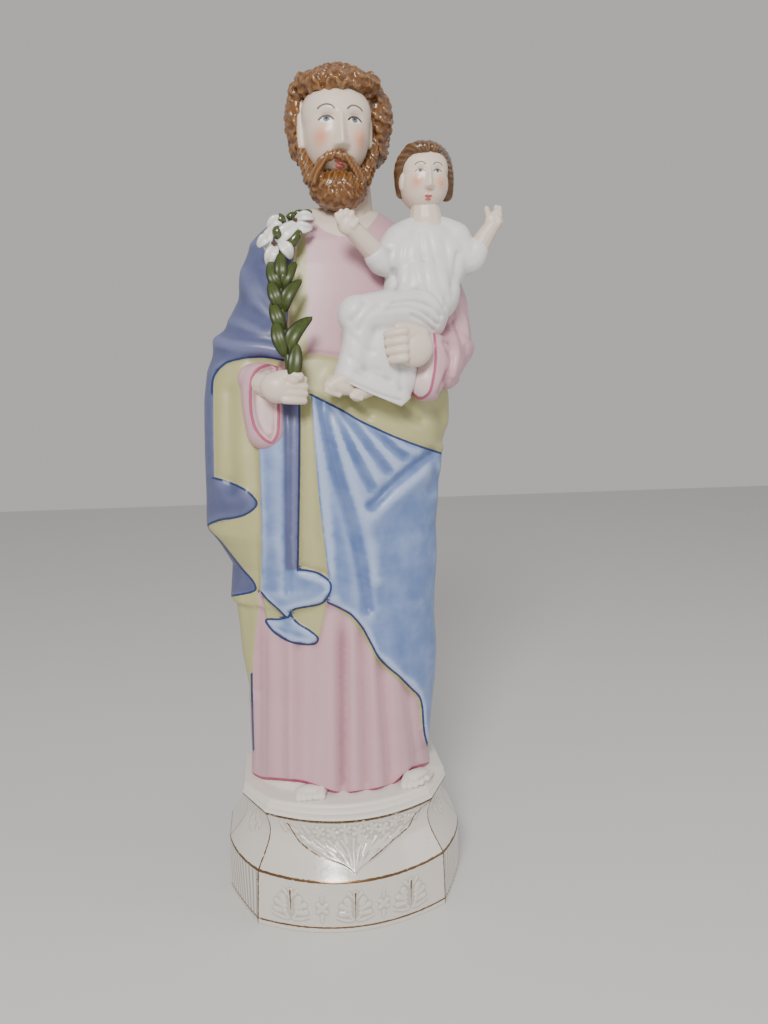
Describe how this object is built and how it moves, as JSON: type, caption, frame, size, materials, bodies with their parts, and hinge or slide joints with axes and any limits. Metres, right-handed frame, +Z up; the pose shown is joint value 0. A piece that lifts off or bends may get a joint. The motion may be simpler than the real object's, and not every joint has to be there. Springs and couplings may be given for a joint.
{
  "type": "saint joseph statue",
  "caption": "Porcelain devotional statue of a robed, bearded man holding a child and a lily spray, on an eight-sided moulded plinth.",
  "frame": {"origin": "centre of the plinth's underside", "axes": "+Z up, the statue faces -Y, the viewer's right is +X"},
  "size_m": [0.1407, 0.0978, 0.4],
  "materials": {
    "bisque": "painted bisque porcelain: pink robe, blue cape with pale yellow lining, white child",
    "glaze": "white glazed porcelain with thin gold lines"
  },
  "bodies": {
    "root": {"joseph_and_child": "bisque", "plinth": "glaze"}
  },
  "joints": []
}
